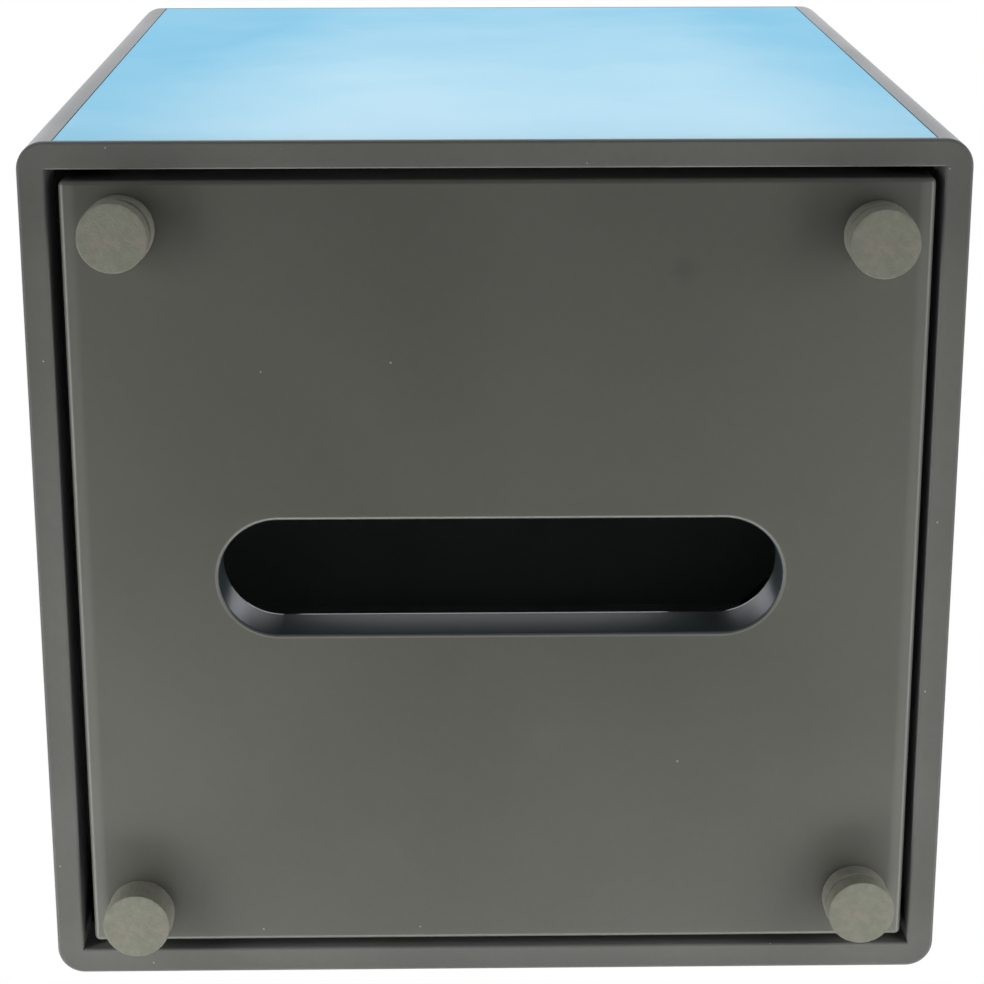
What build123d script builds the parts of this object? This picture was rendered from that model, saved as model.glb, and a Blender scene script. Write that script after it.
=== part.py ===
from build123d import *
from math import cos, radians, sin
import os

# Square tissue box cover, in millimetres.
#
# A shell of four mitred boards carries a thin inlaid sheet on each side and a top board
# with the tissue outlet. A loose base panel closes the shell from below. It has a finger
# slot and four stacked foam feet, stops against two rails and the corner blocks, and is
# held there by four pairs of magnets.
#
# +Z is up and the front faces -Y. The origin is on the surface that the feet stand on,
# under the middle of the shell.

# ---- Shell: outside sizes and edges ----
shell_width = 133.0  # along X, over the left and right boards
shell_depth = 127.0  # along Y, over the front and back boards
shell_height = 159.0  # bottom edge to top face
board_thickness = 3.9
corner_radius = 4.0  # outer upright corners
top_edge_radius = 1.8  # round the outer edge of the top
rim_edge_radius = 0.5  # outer bottom edge of the shell
rim_inner_radius = 0.3  # inner bottom edge, round the opening

# ---- Top board and tissue outlet ----
top_thickness = 4.0
top_lap = 1.7  # how far the top board reaches into the rebate of each side board
outlet_length = 76.0
outlet_width = 36.0
outlet_edge_radius = 1.5  # upper edge, which the tissues pass over
outlet_under_chamfer = 0.5

# ---- Inlaid sheets ----
inlay_thickness = 1.0
inlay_side_border = 5.0  # black border left at each upright corner
inlay_top_border = 2.2  # black border left under the top face
inlay_bottom_border = 0.8  # black border left over the bottom edge
inlay_edge_radius = 0.3

# ---- Glue blocks and stop rails inside the shell ----
block_leg = 9.0  # short sides of the triangular blocks
rail_width = 7.2  # out from the board
rail_height = 8.0

# ---- Base panel ----
base_thickness = 9.5
base_gap = 1.5  # all round, when centred in the opening
base_seat_shift = (0.3, 0.1)  # how the loose panel happens to sit within its gap
base_corner_radius = 0.8
base_edge_radius = 0.7  # round the underside
base_top_chamfer = 0.4
slot_length = 82.0
slot_width = 17.5
slot_miss = (0.4, 0.2)  # how far the slot was cut off the middle of the base
slot_edge_radius = 0.5  # lower edge, which the fingers meet
slot_top_chamfer = 0.4

# ---- Magnets ----
magnet_diameter = 4.0
magnet_thickness = 3.0
magnet_recess = 0.15  # below the surface that it is let into
magnet_from_board = 4.2  # centre of a magnet from the inner face of the board
magnet_from_rail_end = 12.6  # centre of a magnet from the nearer end of its rail

# ---- Feet ----
foot_diameter = 10.0
spacer_thickness = 3.0
pad_thickness = 3.0
foam_edge_chamfer = 0.3
foot_from_side = 7.8  # centre of a foot from the left or right edge of the base
foot_from_front = 6.8  # centre of a foot from the front or back edge of the base
# The feet are stuck on by hand: each spacer's miss along X and Y, and each pad's on it.
foot_miss = {
    "front_left": (0.5, 0.0),
    "front_right": (0.0, 1.2),
    "back_left": (-0.5, 1.7),
    "back_right": (0.55, 0.15),
}
pad_slip = {
    "front_left": (-0.4, 0.1),
    "front_right": (0.05, 0.15),
    "back_left": (-0.15, -0.25),
    "back_right": (0.25, 0.05),
}

# ---- Heights and widths that follow ----
shell_bottom = pad_thickness + spacer_thickness
shell_top = shell_bottom + shell_height
base_top = shell_bottom + base_thickness
top_under = shell_top - top_thickness
opening_width = shell_width - 2 * board_thickness
opening_depth = shell_depth - 2 * board_thickness
base_width = opening_width - 2 * base_gap
base_depth = opening_depth - 2 * base_gap
lip = board_thickness - top_lap  # side board left outside the top board
magnet_pocket = magnet_thickness + magnet_recess
inlay_height = shell_height - inlay_top_border - inlay_bottom_border
rail_length = opening_depth - 2 * block_leg
magnet_x = opening_width / 2 - magnet_from_board
magnet_y = rail_length / 2 - magnet_from_rail_end

# The sides of the shell, each a quarter turn about Z from the one before.
sides = ("front", "right", "back", "left")
# The four corners: signs along X and Y.
corners = {
    "front_left": (-1, -1),
    "front_right": (1, -1),
    "back_left": (-1, 1),
    "back_right": (1, 1),
}


def save(part, name):
    """Label a finished piece and write its file."""
    part.label = name
    export_step(part, f"parts/{name}.step")


def side_plane(turn, height=0.0):
    """Plan plane of a side: its local -Y points out of the box."""
    return Plane.XY.offset(height).rotated((0, 0, turn))


def outward(turn):
    """The direction in which a side faces."""
    return Axis((0, 0, 0), (sin(radians(turn)), -cos(radians(turn)), 0))


def outer_rim(edges, turn):
    """From the edges of a board's end face, those on the outside of the box."""
    return edges.filter_by(GeomType.CIRCLE) + edges.filter_by(GeomType.LINE).sort_by(outward(turn))[-1:]


def side_board(length, reach, turn):
    """A mitred board with half of each rounded corner, a rebate for the top and a recess."""
    half = length / 2
    inner = reach - board_thickness
    with BuildPart() as board:
        with BuildSketch(side_plane(turn, shell_bottom)):
            with BuildLine():
                Line((0, -reach), (half - corner_radius, -reach))
                bend = CenterArc((half - corner_radius, corner_radius - reach), corner_radius, 270, 45)
                Line(bend @ 1, (half - board_thickness, -inner))
                Line((half - board_thickness, -inner), (0, -inner))
                mirror(about=Plane.YZ)
            make_face()
        extrude(amount=shell_height)
        fillet(outer_rim(board.edges().group_by(Axis.Z)[-1], turn), top_edge_radius)
        fillet(outer_rim(board.edges().group_by(Axis.Z)[0], turn), rim_edge_radius)
        rim_lines = board.edges().group_by(Axis.Z)[0].filter_by(GeomType.LINE)
        fillet(rim_lines.sort_by(outward(turn))[0], rim_inner_radius)
        # Rebate for the top board.
        with BuildSketch(Plane.XY.offset(top_under)):
            RectangleRounded(shell_width - 2 * lip, shell_depth - 2 * lip, corner_radius - lip)
        extrude(amount=top_thickness, mode=Mode.SUBTRACT)
        # Recess for the inlaid sheet.
        with BuildSketch(side_plane(turn, shell_bottom + inlay_bottom_border)):
            with Locations((0, inlay_thickness / 2 - reach)):
                Rectangle(length - 2 * inlay_side_border, inlay_thickness)
        extrude(amount=inlay_height, mode=Mode.SUBTRACT)
    return board.part


def side_inlay(length, reach, turn):
    """The sheet that fills a side board's recess, with its face edges softened."""
    with BuildPart() as inlay:
        with BuildSketch(side_plane(turn, shell_bottom + inlay_bottom_border)):
            with Locations((0, inlay_thickness / 2 - reach)):
                Rectangle(length - 2 * inlay_side_border, inlay_thickness)
        extrude(amount=inlay_height)
        fillet(inlay.faces().sort_by(outward(turn))[-1].edges(), inlay_edge_radius)
    return inlay.part


def corner_block(sign_x, sign_y):
    """A triangular glue block that runs from the base's seat to the underside of the top."""
    corner_x = sign_x * opening_width / 2
    corner_y = sign_y * opening_depth / 2
    with BuildPart() as block:
        with BuildSketch(Plane.XY.offset(base_top)):
            with BuildLine():
                Polyline(
                    (corner_x, corner_y),
                    (corner_x - sign_x * block_leg, corner_y),
                    (corner_x, corner_y - sign_y * block_leg),
                    close=True,
                )
            make_face()
        extrude(amount=top_under - base_top)
    return block.part


def stop_rail(sign_x):
    """A rail along a side board, drilled from below for its two magnets."""
    with BuildPart() as rail:
        with BuildSketch(Plane.XY.offset(base_top)):
            with Locations((sign_x * (opening_width - rail_width) / 2, 0)):
                Rectangle(rail_width, rail_length)
        extrude(amount=rail_height)
        with BuildSketch(Plane.XY.offset(base_top)):
            with Locations((sign_x * magnet_x, 0)):
                with GridLocations(0, 2 * magnet_y, 1, 2):
                    Circle(magnet_diameter / 2)
        extrude(amount=magnet_pocket, mode=Mode.SUBTRACT)
    return rail.part


def magnet(sign_x, sign_y, bottom, shift=(0.0, 0.0)):
    """A disc magnet, its underside at the given height."""
    x = sign_x * magnet_x + shift[0]
    y = sign_y * magnet_y + shift[1]
    with BuildPart() as disc:
        with BuildSketch(Plane((x, y, bottom))):
            Circle(magnet_diameter / 2)
        extrude(amount=magnet_thickness)
    return disc.part


def foam_disc(x, y, bottom, thickness):
    """A round foam disc with softened edges."""
    with BuildPart() as disc:
        with BuildSketch(Plane((x, y, bottom))):
            Circle(foot_diameter / 2)
        extrude(amount=thickness)
        chamfer(disc.edges().filter_by(GeomType.CIRCLE), foam_edge_chamfer)
    return disc.part


os.makedirs("parts", exist_ok=True)

# ---- Shell ----
for quarter, side in enumerate(sides):
    along, across = (shell_width, shell_depth) if quarter % 2 == 0 else (shell_depth, shell_width)
    save(side_board(along, across / 2, 90 * quarter), f"{side}_board")
    save(side_inlay(along, across / 2, 90 * quarter), f"{side}_inlay")

with BuildPart() as top_board:
    with BuildSketch(Plane.XY.offset(top_under)):
        RectangleRounded(shell_width - 2 * lip, shell_depth - 2 * lip, corner_radius - lip)
    extrude(amount=top_thickness)
    with BuildSketch(Plane.XY.offset(top_under)):
        SlotOverall(outlet_length, outlet_width)
    extrude(amount=top_thickness, mode=Mode.SUBTRACT)
    outlet_edges = top_board.edges(Select.LAST)
    fillet(outlet_edges.group_by(Axis.Z)[-1], outlet_edge_radius)
    chamfer(outlet_edges.group_by(Axis.Z)[0], outlet_under_chamfer)
save(top_board.part, "top_board")

for corner, (sign_x, sign_y) in corners.items():
    save(corner_block(sign_x, sign_y), f"{corner}_block")
    save(magnet(sign_x, sign_y, base_top + magnet_recess), f"{corner}_rail_magnet")

save(stop_rail(-1), "left_stop_rail")
save(stop_rail(1), "right_stop_rail")

# ---- Base ----
base_place = Plane((*base_seat_shift, shell_bottom))

with BuildPart() as base_panel:
    with BuildSketch(base_place):
        RectangleRounded(base_width, base_depth, base_corner_radius)
    extrude(amount=base_thickness)
    fillet(base_panel.edges().group_by(Axis.Z)[0], base_edge_radius)
    chamfer(base_panel.edges().group_by(Axis.Z)[-1], base_top_chamfer)
    with BuildSketch(base_place):
        with Locations(slot_miss):
            SlotOverall(slot_length, slot_width)
    extrude(amount=base_thickness, mode=Mode.SUBTRACT)
    slot_edges = base_panel.edges(Select.LAST)
    fillet(slot_edges.group_by(Axis.Z)[0], slot_edge_radius)
    chamfer(slot_edges.group_by(Axis.Z)[-1], slot_top_chamfer)
    with BuildSketch(base_place.offset(base_thickness - magnet_pocket)):
        with GridLocations(2 * magnet_x, 2 * magnet_y, 2, 2):
            Circle(magnet_diameter / 2)
    extrude(amount=magnet_pocket, mode=Mode.SUBTRACT)
save(base_panel.part, "base_panel")

for corner, (sign_x, sign_y) in corners.items():
    save(magnet(sign_x, sign_y, base_top - magnet_pocket, base_seat_shift), f"{corner}_base_magnet")
    foot_x = base_seat_shift[0] + sign_x * (base_width / 2 - foot_from_side) + foot_miss[corner][0]
    foot_y = base_seat_shift[1] + sign_y * (base_depth / 2 - foot_from_front) + foot_miss[corner][1]
    save(foam_disc(foot_x, foot_y, pad_thickness, spacer_thickness), f"{corner}_foot_spacer")
    pad_x = foot_x + pad_slip[corner][0]
    pad_y = foot_y + pad_slip[corner][1]
    save(foam_disc(pad_x, pad_y, 0.0, pad_thickness), f"{corner}_foot_pad")
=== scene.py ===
"""The looks of a square lacquered tissue box cover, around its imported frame.

The camera looks up at the underside, as in the photograph. Lengths are in metres.
"""

import math
import random

import bmesh
import bpy
from mathutils import Euler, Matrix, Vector, noise


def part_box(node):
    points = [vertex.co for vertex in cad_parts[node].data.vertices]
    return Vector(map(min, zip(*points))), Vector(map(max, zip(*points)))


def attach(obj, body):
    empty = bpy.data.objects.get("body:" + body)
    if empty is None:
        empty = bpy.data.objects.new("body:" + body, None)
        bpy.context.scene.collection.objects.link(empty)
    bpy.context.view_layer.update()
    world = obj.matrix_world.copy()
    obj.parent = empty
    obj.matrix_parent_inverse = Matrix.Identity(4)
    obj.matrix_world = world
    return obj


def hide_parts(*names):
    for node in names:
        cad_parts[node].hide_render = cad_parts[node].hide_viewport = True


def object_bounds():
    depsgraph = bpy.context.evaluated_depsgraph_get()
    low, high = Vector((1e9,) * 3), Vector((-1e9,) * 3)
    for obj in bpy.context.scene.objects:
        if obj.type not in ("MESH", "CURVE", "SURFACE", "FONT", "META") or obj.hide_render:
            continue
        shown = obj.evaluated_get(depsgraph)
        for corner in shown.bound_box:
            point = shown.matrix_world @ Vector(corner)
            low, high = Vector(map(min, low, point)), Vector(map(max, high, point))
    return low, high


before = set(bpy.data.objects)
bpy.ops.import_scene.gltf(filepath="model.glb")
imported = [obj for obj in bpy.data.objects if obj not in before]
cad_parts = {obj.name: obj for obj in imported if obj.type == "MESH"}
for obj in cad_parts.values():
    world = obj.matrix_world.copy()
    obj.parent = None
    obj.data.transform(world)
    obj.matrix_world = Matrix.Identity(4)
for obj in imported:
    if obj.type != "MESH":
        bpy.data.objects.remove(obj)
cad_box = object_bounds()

MM = 0.001

# ---- Camera ----
camera_place = (-0.00653, -0.12337, -0.35454)
camera_turn = (162.9280, 0.9535, 0.0443)  # degrees
camera_lens = 95.89  # mm
camera_sensor = 36.0  # mm
camera_clip = (0.01, 20.0)

# ---- World light, by direction ----
zenith_level = 1.05
horizon_level = 0.78
ground_level = 0.055
dark_level = 0.025  # the dim spot straight below
dark_way = (0.0, -0.12, -0.99)
dark_fade = (0.66, 0.985)  # from the cosine where the dim spot starts to the one where it is full
horizon_fade = (-0.25, 0.10)  # heights between which the light below turns into the light above
zenith_height = 0.9
sky_tint = (0.965, 0.985, 1.03)

# ---- Lamps: place, size along and across, power in watts ----
lamps = {
    "table_glow": ((0.00, 0.31, -0.17), (0.40, 0.11), 1.22),
    "low_left": ((-0.34, 0.18, -0.22), (0.36, 0.22), 0.20),
    "low_right": ((0.34, 0.18, -0.22), (0.36, 0.22), 0.17),
    "edge_left": ((-0.17, 0.03, -0.075), (0.30, 0.08), 0.450),
    "edge_right": ((0.17, 0.03, -0.075), (0.30, 0.08), 0.400),
    "low_front": ((0.00, -0.40, -0.13), (0.50, 0.12), 0.10),
    "front_box": ((-0.05, -1.00, 0.45), (0.80, 0.80), 2.7),
    "back_fill": ((0.70, 0.90, 0.60), (0.90, 0.90), 2.2),
    "left_fill": ((-1.10, 0.60, 0.50), (0.90, 0.90), 1.4),
}

# ---- Colours, linear ----
white_colour = (1.0, 1.0, 1.0)
floor_colour = (0.87, 0.86, 0.83)
shell_colour = (0.094, 0.094, 0.086)
# Painted light: the shell's inside is black lacquer, painted pale grey here, and less pale in the
# band by the rim as painted shade.
inside_painted_light_colour = (0.33, 0.36, 0.345)
rim_painted_light_colour = (0.125, 0.128, 0.122)
panel_colour = (0.067, 0.068, 0.0575)
# Painted shade: the slot's wall is the panel's lacquer, painted darker and cooler here.
wall_painted_shade_colour = (0.025, 0.036, 0.040)
# Painted highlight: the pale line round the slot's lip.
lip_highlight_colour = (0.150, 0.150, 0.138)
blue_near = (0.37, 0.65, 0.785)
blue_far = (0.060, 0.43, 0.650)
stain_colour = (0.016, 0.015, 0.014)
nickel_colour = (0.62, 0.61, 0.58)
dust_colour = (0.50, 0.50, 0.48)
foam_green = (0.136, 0.140, 0.112)
foam_brown = (0.146, 0.139, 0.116)
foam_grain = (0.50, 0.50, 0.46)

# ---- Sizes read from the frame ----
low, high = cad_box
panel_low, panel_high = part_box("base_panel")
shell_bottom = panel_low.z

# ---- Sizes of the shell and the base panel ----
board_thickness = 3.9 * MM
inside_margin = 0.12 * MM  # a board looks like the inside from this far short of its inner face
slot_length = 82 * MM
slot_width = 17.5 * MM
slot_middle = (0.7 * MM, 0.3 * MM)
lip_highlight_start = (0.20 * MM, 0.40 * MM)  # the painted highlight round the slot's lip, out from its wall
lip_highlight_end = (0.45 * MM, 0.62 * MM)
wall_fade = (0.02 * MM, 0.22 * MM)  # where the wall's look gives way to the face's
arris_depth = (0.85 * MM, 0.55 * MM)  # below the panel's upper face, where the wall turns smoother
edge_roll = 2.4 * MM
edge_drop = 0.22 * MM
belly_height = 1.5 * MM
wall_bulge = 0.0100 * MM
spray_depth = 0.004 * MM
# Soft marks on the base's underside, in mm: x, y, radius, and how pale (or dark) each is.
panel_spots = (
    (26.5, -45.2, 2.6, -0.20),
    (-27.5, -42.6, 3.6, -0.05),
    (35.5, 2.4, 3.0, 0.06),
    (7.2, 25.7, 4.2, 0.07),
    (4.0, 31.0, 3.0, 0.05),
    (41.0, 33.0, 5.0, 0.04),
    (-18.0, 44.0, 6.0, 0.04),
)

# ---- Sizes of the sheets, the feet and the floor ----
blue_middle = 6 * MM
blue_fade = (24 * MM, 70 * MM)  # off the middle, where the blue deepens
# The edge radii of a foam disc, lower and upper.
foam_edges = {"spacer": (0.34 * MM, 0.10 * MM), "pad": (0.14 * MM, 0.34 * MM)}
# Shares of the radius for a face's rings, and of the height between the edges for the side's.
face_shares = (0.0, 0.12, 0.25, 0.38, 0.5, 0.61, 0.71, 0.8, 0.87)
side_shares = (0.25, 0.5, 0.75)
edge_turn = 18  # degrees between the rings of an edge
foam_points = 128
foam_shrink = 0.985  # of the CAD disc's radius, which leaves room for the uneven outline
foam_wave = 0.008  # of the radius
foam_slow_dent = (0.55, 0.05 * MM)  # waves to a millimetre, and depth
foam_fine_dent = (2.6, 0.12 * MM)
foam_sink = 0.01 * MM
foam_rim_from = 0.9  # of the radius: the dents in the outline start here
foam_rim_dent = 0.45  # the least share of a dent that the outline shows
foam_seed = 11
floor_half = 6.0
floor_gap = 8.5 * MM
floor_fade = (0.35, 1.1)

# ---- Finishes: roughness from and to, and single shader values ----
shell_rough = (0.22, 0.28)
flat_rough = 0.16  # more on the shell's level faces
inside_rough = 0.4  # more inside the shell
shell_specular = 0.22
panel_rough = (0.37, 0.43)
arris_polish = -0.30
wall_coat = 0.65
wall_coat_rough = 0.26
lip_highlight_strength = 0.8
sheet_rough = (0.30, 0.34)
sheet_specular = 0.15
wood_rough = (0.62, 0.8)
nickel_rough = (0.20, 0.34)
foam_rough = 0.95
foam_specular = 0.25
floor_rough = 0.9
grain_spread = 0.03
nib_height = 3.0  # against the spray texture's

# ---- Noise: the values it mostly lies between ----
usual = (0.3, 0.7)
wide = (0.2, 0.8)
narrow = (0.35, 0.7)

corners = ("front_left", "front_right", "back_left", "back_right")
sides = ("front", "right", "back", "left")


# ---- Building materials ----
def start(name):
    """A new material with only a Principled shader: its node tree and that shader."""
    material = bpy.data.materials.new(name)
    material.use_nodes = True
    return material, material.node_tree, material.node_tree.nodes["Principled BSDF"]


def add(tree, kind, inputs=None, **settings):
    """A new node. An input given as a socket is linked, and any other value is set."""
    made = tree.nodes.new(kind)
    for key, value in settings.items():
        setattr(made, key, value)
    for key, value in (inputs or {}).items():
        if isinstance(value, bpy.types.NodeSocket):
            tree.links.new(value, made.inputs[key])
        else:
            made.inputs[key].default_value = value
    return made


def math_node(tree, operation, *values, clamp=False):
    """The result of a Math node on one, two or three values."""
    inputs = dict(enumerate(values))
    return add(tree, "ShaderNodeMath", inputs, operation=operation, use_clamp=clamp).outputs[0]


def plus(tree, first, second):
    """Two values added."""
    return math_node(tree, "ADD", first, second)


def minus(tree, first, second):
    """The second value taken from the first."""
    return math_node(tree, "SUBTRACT", first, second)


def times(tree, first, second):
    """Two values multiplied."""
    return math_node(tree, "MULTIPLY", first, second)


def unsigned(tree, value):
    """A value without its sign."""
    return math_node(tree, "ABSOLUTE", value)


def ramp(tree, value, low_at, high_at, low_value=0.0, high_value=1.0):
    """A value carried smoothly from one range to another, held at the ends."""
    inputs = {
        "Value": value,
        "From Min": low_at,
        "From Max": high_at,
        "To Min": low_value,
        "To Max": high_value,
    }
    made = add(tree, "ShaderNodeMapRange", inputs, interpolation_type="SMOOTHSTEP")
    return made.outputs["Result"]


def noise_node(tree, place, scale, detail=2.0, roughness=0.5):
    """Noise of the given scale at a place, from 0 to 1."""
    inputs = {"Vector": place, "Scale": scale, "Detail": detail, "Roughness": roughness}
    return add(tree, "ShaderNodeTexNoise", inputs).outputs["Fac"]


def stretched(tree, place, scales):
    """A place with its three axes scaled, for grain and scratches."""
    return add(tree, "ShaderNodeMapping", {"Vector": place, "Scale": scales}).outputs[0]


def flat_colour(tree, colour):
    """One colour as a socket."""
    made = add(tree, "ShaderNodeRGB").outputs[0]
    made.default_value = (*colour, 1)
    return made


def mix_colour(tree, factor, first, second):
    """Two colours mixed."""
    made = add(tree, "ShaderNodeMix", {0: factor}, data_type="RGBA")
    for index, value in ((6, first), (7, second)):
        if isinstance(value, bpy.types.NodeSocket):
            tree.links.new(value, made.inputs[index])
        else:
            made.inputs[index].default_value = (*value, 1)
    return made.outputs[2]


def shade_by(tree, colour, value):
    """A colour multiplied by a value."""
    made = add(tree, "ShaderNodeVectorMath", {0: colour, 3: value}, operation="SCALE")
    return made.outputs[0]


def parts(tree, vector):
    """A vector's X, Y and Z."""
    return add(tree, "ShaderNodeSeparateXYZ", {0: vector}).outputs


def object_place(tree):
    """Places in the object's own space, which for a CAD node is the row's frame."""
    return add(tree, "ShaderNodeTexCoord").outputs["Object"]


def object_facing(tree):
    """The three parts of the normal in the object's own space."""
    normal = add(tree, "ShaderNodeTexCoord").outputs["Normal"]
    return parts(tree, normal)


def bump(tree, height, distance, strength=1.0, under=None):
    """A bumped normal."""
    inputs = {"Height": height, "Distance": distance, "Strength": strength}
    if under is not None:
        inputs["Normal"] = under
    return add(tree, "ShaderNodeBump", inputs).outputs["Normal"]


def specks(tree, place, scale, size, share=1.0):
    """Small round specks, 1 inside and 0 outside, in a share of the cells of a grid."""
    grid = {"Vector": place, "Scale": scale, "Randomness": 1.0}
    cells = add(tree, "ShaderNodeTexVoronoi", grid)
    near = ramp(tree, cells.outputs["Distance"], size * 0.6, size, 1.0, 0.0)
    pick = add(tree, "ShaderNodeSeparateColor", {0: cells.outputs["Color"]}).outputs[0]
    return times(tree, near, math_node(tree, "LESS_THAN", pick, share))


# ---- Lacquer ----
def clouding(tree, place, scale, spread):
    """How pale the lacquer is from place to place: broad clouds and a fine grain, about 1."""
    cloud = noise_node(tree, place, scale, detail=3.0, roughness=0.55)
    fine = noise_node(tree, place, 900.0, roughness=0.6)
    broad = ramp(tree, cloud, *usual, 1 - spread, 1 + spread)
    return plus(tree, broad, ramp(tree, fine, *wide, -grain_spread, grain_spread))


def dusted(tree, place, coat, scale, size, strength):
    """A coat with pale specks of dust."""
    dust = specks(tree, place, scale, size)
    return mix_colour(tree, times(tree, dust, strength), coat, dust_colour)


def sprayed(tree, place, under=None):
    """The normal of a sprayed coat: a fine spray texture with dust nibs."""
    spray = noise_node(tree, place, 620.0)
    nibs = specks(tree, place, 90.0, 0.040)
    height = plus(tree, spray, times(tree, nibs, nib_height))
    return bump(tree, height, spray_depth, under=under)


def deeper_than(tree, axes, depth):
    """1 where a point of the shell lies further in from its four sides and its top than a depth."""
    in_x = minus(tree, high.x, unsigned(tree, axes["X"]))
    in_y = minus(tree, high.y, unsigned(tree, axes["Y"]))
    in_top = minus(tree, high.z, axes["Z"])
    least = math_node(tree, "MINIMUM", math_node(tree, "MINIMUM", in_x, in_y), in_top)
    return math_node(tree, "GREATER_THAN", least, depth)


def lacquer():
    """Satin black lacquer over board: faint clouding, dust nibs and a fine spray texture. Its inside
    faces carry painted light: pale grey in place of black, and less pale by the rim as painted shade.
    """
    material, tree, shader = start("satin_black_lacquer")
    place = object_place(tree)
    axes = parts(tree, place)
    facing = object_facing(tree)
    deep = deeper_than(tree, axes, board_thickness - inside_margin)
    # Painted light on the inside faces: pale grey instead of black, rising from the darker rim band
    # to the paler inside above the panel.
    inside_light_rise = ramp(tree, axes["Z"], shell_bottom, panel_high.z)
    inside_painted_light = mix_colour(tree, inside_light_rise, rim_painted_light_colour, inside_painted_light_colour)
    coat = mix_colour(tree, deep, shell_colour, inside_painted_light)
    coat = shade_by(tree, coat, clouding(tree, place, scale=38.0, spread=0.05))
    coat = dusted(tree, place, coat, scale=260.0, size=0.036, strength=0.7)
    tree.links.new(coat, shader.inputs["Base Color"])
    rubbed = noise_node(tree, place, 24.0, detail=1.0, roughness=0.4)
    rougher_flats = ramp(tree, unsigned(tree, facing["Z"]), 0.4, 0.9, 0.0, flat_rough)
    satin = plus(tree, ramp(tree, rubbed, *narrow, *shell_rough), rougher_flats)
    satin = plus(tree, satin, times(tree, deep, inside_rough))
    tree.links.new(satin, shader.inputs["Roughness"])
    tree.links.new(sprayed(tree, place), shader.inputs["Normal"])
    shader.inputs["Specular IOR Level"].default_value = shell_specular
    return material


# ---- Base panel ----
def panel_marks(tree, place):
    """Soft round marks on the base's underside: above 0 where pale, below 0 where dark."""
    total = 0.0
    for x, y, radius, strength in panel_spots:
        spot = (x * MM, y * MM, panel_low.z)
        away = add(tree, "ShaderNodeVectorMath", {0: place, 1: spot}, operation="DISTANCE")
        near = ramp(tree, away.outputs["Value"], 0.0, radius * MM, strength, 0.0)
        total = plus(tree, near, total)
    return total


def slot_reach(tree, axes):
    """How far a point lies from the finger slot's middle line."""
    half_run = (slot_length - slot_width) / 2
    along = minus(tree, axes["X"], slot_middle[0])
    across = minus(tree, axes["Y"], slot_middle[1])
    past_end = math_node(tree, "MAXIMUM", minus(tree, unsigned(tree, along), half_run), 0.0)
    along_square = math_node(tree, "POWER", past_end, 2.0)
    across_square = math_node(tree, "POWER", across, 2.0)
    return math_node(tree, "SQRT", plus(tree, along_square, across_square))


def from_wall(tree, reach, fade, start_value=0.0, end_value=1.0):
    """A value that changes between two distances out from the slot's wall."""
    near, far = fade
    half = slot_width / 2
    return ramp(tree, reach, half + near, half + far, start_value, end_value)


def edge_fall(tree, axes):
    """How far the lacquer has drawn back from the panel's two sides: 0 at the edge, 1 on the flat."""
    middle = (panel_low.x + panel_high.x) / 2
    half = (panel_high.x - panel_low.x) / 2
    off_middle = unsigned(tree, minus(tree, axes["X"], middle))
    return ramp(tree, minus(tree, half, off_middle), 0.0, edge_roll)


def wall_belly(tree, axes):
    """The slight swell of the lacquer down the slot's wall, highest near the lower edge."""
    away = minus(tree, axes["Z"], panel_low.z + belly_height)
    square = math_node(tree, "POWER", math_node(tree, "DIVIDE", away, MM), 2.0)
    return times(tree, square, -1.0)


def panel_lacquer():
    """The base panel's lacquer, which is glossier inside the finger slot. Down the slot's wall its
    colour is painted shade, darker and cooler, and round the slot's lip there is a painted highlight.
    """
    material, tree, shader = start("base_panel_lacquer")
    place = object_place(tree)
    axes = parts(tree, place)
    reach = slot_reach(tree, axes)
    in_slot = from_wall(tree, reach, wall_fade, 1.0, 0.0)
    level = plus(tree, clouding(tree, place, scale=30.0, spread=0.04), panel_marks(tree, place))
    coat = shade_by(tree, flat_colour(tree, panel_colour), level)
    coat = dusted(tree, place, coat, scale=110.0, size=0.020, strength=0.5)
    # Painted shade down the slot's wall.
    coat = mix_colour(tree, in_slot, coat, wall_painted_shade_colour)
    # Painted highlight: a pale line round the slot's lip.
    outer_fade = from_wall(tree, reach, lip_highlight_end, 1.0, 0.0)
    painted_lip_highlight = times(tree, from_wall(tree, reach, lip_highlight_start), outer_fade)
    coat = mix_colour(tree, times(tree, painted_lip_highlight, lip_highlight_strength), coat, lip_highlight_colour)
    tree.links.new(coat, shader.inputs["Base Color"])
    rubbed = noise_node(tree, place, 20.0)
    arris_low, arris_high = (panel_high.z - depth for depth in arris_depth)
    arris = ramp(tree, axes["Z"], arris_low, arris_high)
    polish = times(tree, times(tree, arris, in_slot), arris_polish)
    face_rough = ramp(tree, rubbed, *narrow, *panel_rough)
    tree.links.new(plus(tree, face_rough, polish), shader.inputs["Roughness"])
    tree.links.new(times(tree, in_slot, wall_coat), shader.inputs["Coat Weight"])
    shader.inputs["Coat Roughness"].default_value = wall_coat_rough
    rolled = bump(tree, edge_fall(tree, axes), edge_drop)
    bellied = bump(tree, wall_belly(tree, axes), wall_bulge, under=rolled)
    tree.links.new(sprayed(tree, place, bellied), shader.inputs["Normal"])
    return material


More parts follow.
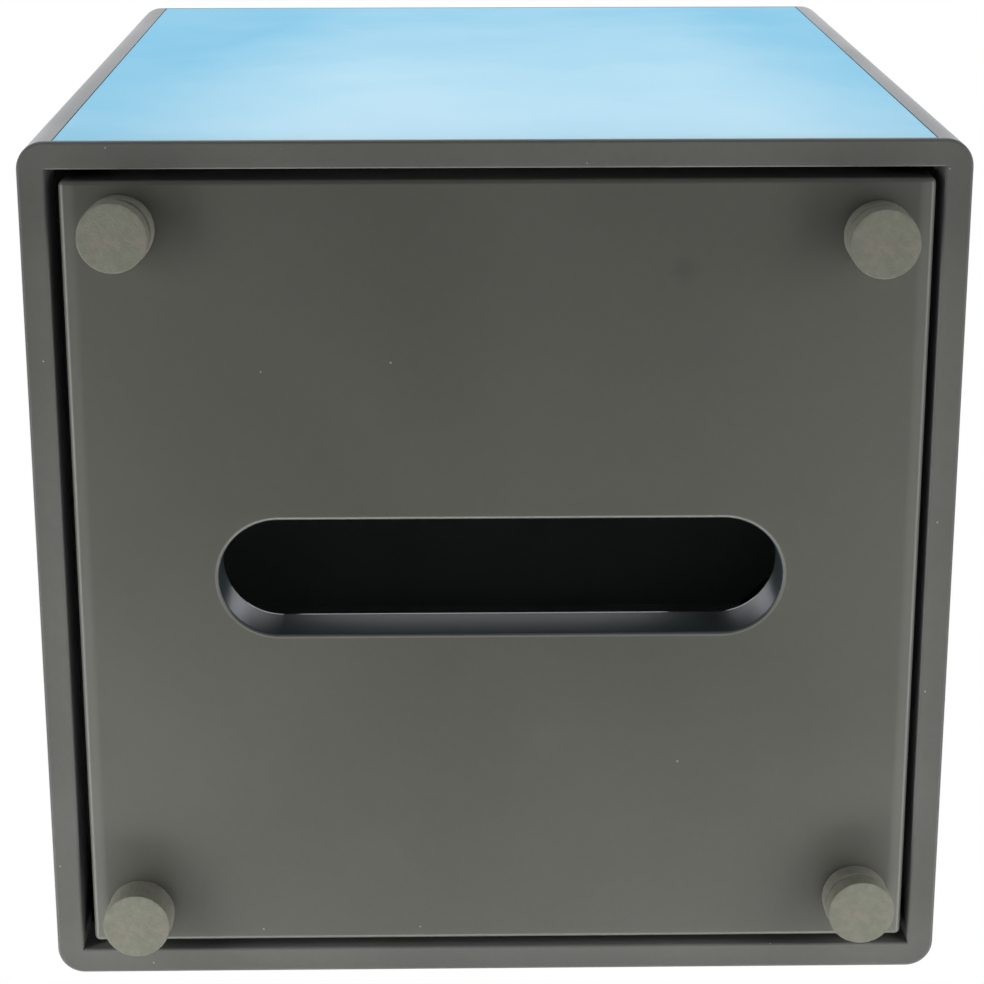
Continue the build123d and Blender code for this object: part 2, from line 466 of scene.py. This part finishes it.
# ---- Sheets, wood and metal ----
def blue_sheet():
    """The inlaid sheet: a soft sky blue, paler low in the middle, under a clear gloss."""
    material, tree, shader = start("sky_blue_sheet")
    place = object_place(tree)
    axes = parts(tree, place)
    facing = object_facing(tree)
    height = ramp(tree, axes["Z"], shell_bottom, high.z)
    on_front = math_node(tree, "GREATER_THAN", unsigned(tree, facing["Y"]), 0.7)
    across = times(tree, minus(tree, axes["X"], blue_middle), on_front)
    other = times(tree, axes["Y"], minus(tree, 1.0, on_front))
    sideways = ramp(tree, unsigned(tree, plus(tree, across, other)), *blue_fade)
    drift = noise_node(tree, place, 14.0, detail=1.0, roughness=0.4)
    wisps = noise_node(tree, place, 42.0, detail=4.0)
    depth = math_node(tree, "MULTIPLY_ADD", height, 0.75, times(tree, sideways, 0.75))
    depth = plus(tree, depth, ramp(tree, drift, *wide, -0.08, 0.08))
    wisp = ramp(tree, wisps, *usual, -0.06, 0.06)
    depth = math_node(tree, "ADD", depth, wisp, clamp=True)
    grain = noise_node(tree, place, 1400.0, roughness=0.6)
    tint = mix_colour(tree, depth, blue_near, blue_far)
    tint = shade_by(tree, tint, ramp(tree, grain, *wide, 0.985, 1.015))
    tree.links.new(tint, shader.inputs["Base Color"])
    haze = ramp(tree, noise_node(tree, place, 60.0), *usual, *sheet_rough)
    tree.links.new(haze, shader.inputs["Roughness"])
    shader.inputs["Specular IOR Level"].default_value = sheet_specular
    return material


def stained_wood():
    """Softwood stained black: grain along the piece, and open pores."""
    material, tree, shader = start("black_stained_wood")
    along_grain = stretched(tree, object_place(tree), (420.0, 420.0, 28.0))
    grain = noise_node(tree, along_grain, 1.0, detail=4.0, roughness=0.6)
    stain = flat_colour(tree, stain_colour)
    shade = shade_by(tree, stain, ramp(tree, grain, *usual, 0.6, 1.7))
    tree.links.new(shade, shader.inputs["Base Color"])
    tree.links.new(ramp(tree, grain, *usual, *wood_rough), shader.inputs["Roughness"])
    tree.links.new(bump(tree, grain, 0.03 * MM), shader.inputs["Normal"])
    return material


def nickel():
    """Nickel plate with a faint haze and fine scratches."""
    material, tree, shader = start("nickel_plate")
    place = object_place(tree)
    haze = noise_node(tree, place, 500.0, detail=3.0, roughness=0.6)
    scratch = noise_node(tree, stretched(tree, place, (9000.0, 500.0, 500.0)), 1.0)
    plate = flat_colour(tree, nickel_colour)
    shade = shade_by(tree, plate, ramp(tree, haze, *usual, 0.9, 1.06))
    tree.links.new(shade, shader.inputs["Base Color"])
    tree.links.new(ramp(tree, haze, *usual, *nickel_rough), shader.inputs["Roughness"])
    tree.links.new(bump(tree, scratch, 0.002 * MM), shader.inputs["Normal"])
    shader.inputs["Metallic"].default_value = 1.0
    return material


# ---- Foam feet ----
def foam():
    """Closed-cell foam: mottled warm grey with pale grains and small open cells."""
    material, tree, shader = start("foot_foam")
    place = object_place(tree)
    patch = noise_node(tree, place, 900.0, detail=3.0, roughness=0.6)
    hue = noise_node(tree, place, 420.0)
    warm = mix_colour(tree, ramp(tree, hue, 0.38, 0.64), foam_green, foam_brown)
    warm = shade_by(tree, warm, ramp(tree, patch, 0.25, 0.75, 0.91, 1.09))
    grains = specks(tree, place, 700.0, size=0.14, share=0.035)
    warm = mix_colour(tree, times(tree, grains, 0.6), warm, foam_grain)
    tree.links.new(warm, shader.inputs["Base Color"])
    grid = {"Vector": place, "Scale": 3200.0}
    cells = add(tree, "ShaderNodeTexVoronoi", grid).outputs["Distance"]
    tree.links.new(bump(tree, cells, 0.05 * MM, strength=0.8), shader.inputs["Normal"])
    shader.inputs["Roughness"].default_value = foam_rough
    shader.inputs["Specular IOR Level"].default_value = foam_specular
    return material


def disc_profile(radius, thickness, edge_low, edge_high):
    """Points (radius, height) up a disc's half section, from the middle of one face to the other."""
    turns = [math.radians(turn) for turn in range(0, 91, edge_turn)]
    points = [(radius * share, 0.0) for share in face_shares]
    for turn in turns:
        out = radius - edge_low + edge_low * math.sin(turn)
        points.append((out, edge_low - edge_low * math.cos(turn)))
    for share in side_shares:
        points.append((radius, edge_low + (thickness - edge_low - edge_high) * share))
    for turn in reversed(turns):
        out = radius - edge_high + edge_high * math.sin(turn)
        points.append((out, thickness - edge_high + edge_high * math.cos(turn)))
    points.extend((radius * share, thickness) for share in reversed(face_shares))
    return points


def dent_at(here, shift, kind):
    """How deep one kind of dent is at a point."""
    waves_to_mm, depth = kind
    return noise.noise(here / MM * waves_to_mm + shift) * depth


def uneven_ring(r, z, radius, thickness, waves, shift):
    """The points of one ring of a disc, about its middle. A ring of no radius is one point."""
    ring = []
    level = (z - thickness / 2) / (thickness / 2)  # -1 on the lower face, 1 on the upper
    for step in range(foam_points if r > 0 else 1):
        angle = 2 * math.pi * step / foam_points
        wobble = sum(size * math.sin(count * angle + phase) for count, size, phase in waves)
        out = r * (1 + foam_wave * wobble)
        x, y = out * math.cos(angle), out * math.sin(angle)
        here = Vector((x, y, z))
        slow = dent_at(here, shift, foam_slow_dent)
        dent = slow + dent_at(here, shift, foam_fine_dent)
        side = max(foam_rim_dent, 1 - abs(level)) if r >= radius * foam_rim_from else 0.0
        grow = 1 + dent / radius * side
        lift = (-abs(slow) - foam_sink) * (1 if level > 0 else -1) * min(1.0, abs(level))
        ring.append((x * grow, y * grow, z - thickness / 2 + lift))
    return ring


def join_rings(mesh, rings):
    """Faces between each ring and the next, closed at a ring of one point."""
    for below, above in zip(rings, rings[1:]):
        for step in range(foam_points):
            after = (step + 1) % foam_points
            if len(below) == 1:
                mesh.faces.new((below[0], above[after], above[step]))
            elif len(above) == 1:
                mesh.faces.new((below[step], below[after], above[0]))
            else:
                mesh.faces.new((below[step], below[after], above[after], above[step]))
    bmesh.ops.recalc_face_normals(mesh, faces=mesh.faces)


def new_object(name, mesh):
    """A bmesh made into an object of the scene."""
    data = bpy.data.meshes.new(name)
    mesh.to_mesh(data)
    mesh.free()
    made = bpy.data.objects.new(name, data)
    bpy.context.scene.collection.objects.link(made)
    return made


def foam_disc(node, seed, edge_low, edge_high):
    """A hand-cut foam disc in a CAD disc's place: not quite round, its faces a little uneven."""
    low_corner, high_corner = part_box(node)
    thickness = high_corner.z - low_corner.z
    radius = (high_corner.x - low_corner.x) / 2
    draw = random.Random(seed)
    waves = []
    for count in (2, 3, 5):
        waves.append((count, draw.uniform(0.2, 1.0) / count, draw.uniform(0, 2 * math.pi)))
    shift = Vector((draw.uniform(0, 50), draw.uniform(0, 50), draw.uniform(0, 50)))
    mesh = bmesh.new()
    rings = []
    for r, z in disc_profile(radius * foam_shrink, thickness, edge_low, edge_high):
        points = uneven_ring(r, z, radius, thickness, waves, shift)
        rings.append([mesh.verts.new(point) for point in points])
    join_rings(mesh, rings)
    disc = new_object(f"{node}_foam", mesh)
    disc.location = (low_corner + high_corner) / 2
    for polygon in disc.data.polygons:
        polygon.use_smooth = True
    return disc


def make_feet(material):
    """Eight foam discs: a spacer on the base at each corner and a pad on each spacer."""
    for number, corner in enumerate(corners):
        for layer, (kind, edges) in enumerate(foam_edges.items()):
            node = f"{corner}_foot_{kind}"
            disc = foam_disc(node, foam_seed + 2 * number + layer, *edges)
            disc.data.materials.append(material)
            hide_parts(node)
            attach(disc, "base")


def dress(material, *nodes):
    """Give CAD nodes a material in the slot they carry."""
    for name in nodes:
        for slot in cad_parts[name].material_slots:
            slot.material = material


# ---- Floor, light and camera ----
def floor_material():
    """Pale from above, and clear from below so that the underside is seen from under the floor."""
    material, tree, shader = start("pale_floor")
    place = object_place(tree)
    mottle = ramp(tree, noise_node(tree, place, 7.0, detail=3.0), *usual, 0.985, 1.015)
    pale = shade_by(tree, flat_colour(tree, floor_colour), mottle)
    tree.links.new(pale, shader.inputs["Base Color"])
    shader.inputs["Roughness"].default_value = floor_rough
    clear = add(tree, "ShaderNodeBsdfTransparent").outputs[0]
    white = add(tree, "ShaderNodeEmission", {"Color": (*white_colour, 1), "Strength": 1.0})
    out = add(tree, "ShaderNodeVectorMath", {0: place}, operation="LENGTH").outputs["Value"]
    far = ramp(tree, out, *floor_fade)
    from_above = {0: far, 1: shader.outputs[0], 2: white.outputs[0]}
    top = add(tree, "ShaderNodeMixShader", from_above).outputs[0]
    under = add(tree, "ShaderNodeNewGeometry").outputs["Backfacing"]
    whole = add(tree, "ShaderNodeMixShader", {0: under, 1: top, 2: clear}).outputs[0]
    tree.links.new(whole, tree.nodes["Material Output"].inputs["Surface"])
    return material


def floor_piece(name, outer, inner=None):
    """A flat rectangle on the floor's plane, by its half sizes, with a hole if one is given."""
    mesh = bmesh.new()
    signs = ((-1, -1), (1, -1), (1, 1), (-1, 1))
    rings = []
    for half_x, half_y in (outer, inner) if inner else (outer,):
        rings.append([mesh.verts.new((half_x * x, half_y * y, 0.0)) for x, y in signs])
    if inner:
        for step in range(4):
            after = (step + 1) % 4
            mesh.faces.new((rings[0][step], rings[0][after], rings[1][after], rings[1][step]))
    else:
        mesh.faces.new(rings[0])
    piece = new_object(name, mesh)
    return piece


def make_floor():
    """A wide floor, and under the box a patch that lets the light from below through."""
    material = floor_material()
    patch = (high.x + floor_gap, high.y + floor_gap)
    wide_floor = floor_piece("floor", (floor_half, floor_half), patch)
    near_floor = floor_piece("floor_under_box", patch)
    for piece in (wide_floor, near_floor):
        piece.data.materials.append(material)
    near_floor.visible_shadow = False
    near_floor.visible_diffuse = False
    near_floor.visible_glossy = False
    near_floor.visible_transmission = False


def light_level(tree, way):
    """The world's strength by direction: bright above, and dim below, most of all straight down."""
    height = parts(tree, way)["Z"]
    to_dark = add(tree, "ShaderNodeVectorMath", {0: way, 1: dark_way}, operation="DOT_PRODUCT")
    below = ramp(tree, to_dark.outputs["Value"], *dark_fade, ground_level, dark_level)
    above = ramp(tree, height, 0.0, zenith_height, horizon_level, zenith_level)
    upness = ramp(tree, height, *horizon_fade)
    return math_node(tree, "MULTIPLY_ADD", upness, minus(tree, above, below), below)


def make_world():
    """White where the camera sees it, and for light the level of each direction."""
    world = bpy.data.worlds.new("studio")
    world.use_nodes = True
    bpy.context.scene.world = world
    tree = world.node_tree
    tree.nodes.clear()
    way = add(tree, "ShaderNodeTexCoord").outputs["Generated"]
    sky = {"Color": (*sky_tint, 1), "Strength": light_level(tree, way)}
    light = add(tree, "ShaderNodeBackground", sky).outputs[0]
    blank = {"Color": (*white_colour, 1), "Strength": 1.0}
    white = add(tree, "ShaderNodeBackground", blank).outputs[0]
    ray = add(tree, "ShaderNodeLightPath").outputs
    seen = math_node(tree, "MAXIMUM", ray["Is Camera Ray"], ray["Is Transmission Ray"])
    both = add(tree, "ShaderNodeMixShader", {0: seen, 1: light, 2: white}).outputs[0]
    output = add(tree, "ShaderNodeOutputWorld")
    tree.links.new(both, output.inputs["Surface"])


def make_lamps():
    """Soft boxes: low ones are turned to the floor's middle, and high ones to the box's."""
    middle = Vector((0, 0, (low.z + high.z) / 2))
    for name, (place, (along, across), watts) in lamps.items():
        data = bpy.data.lights.new(name, "AREA")
        data.shape = "RECTANGLE"
        data.size = along
        data.size_y = across
        data.energy = watts
        lamp = bpy.data.objects.new(name, data)
        lamp.location = place
        target = Vector((0, 0, 0)) if place[2] < 0 else middle
        lamp.rotation_euler = (target - Vector(place)).to_track_quat("-Z", "Y").to_euler()
        bpy.context.scene.collection.objects.link(lamp)


def make_camera():
    """The photograph's own viewpoint."""
    data = bpy.data.cameras.new("photo_camera")
    data.lens = camera_lens
    data.sensor_width = camera_sensor
    data.clip_start, data.clip_end = camera_clip
    camera = bpy.data.objects.new("photo_camera", data)
    camera.location = camera_place
    camera.rotation_euler = Euler([math.radians(turn) for turn in camera_turn])
    bpy.context.scene.collection.objects.link(camera)
    bpy.context.scene.camera = camera


make_camera()
make_world()
make_lamps()
make_floor()
bpy.context.scene.view_settings.view_transform = "Standard"

dress(lacquer(), *[f"{side}_board" for side in sides], "top_board")
dress(panel_lacquer(), "base_panel")
dress(blue_sheet(), *[f"{side}_inlay" for side in sides])
blocks = [f"{corner}_block" for corner in corners]
dress(stained_wood(), *blocks, "left_stop_rail", "right_stop_rail")
dress(nickel(), *[f"{corner}_{kind}_magnet" for corner in corners for kind in ("rail", "base")])
make_feet(foam())
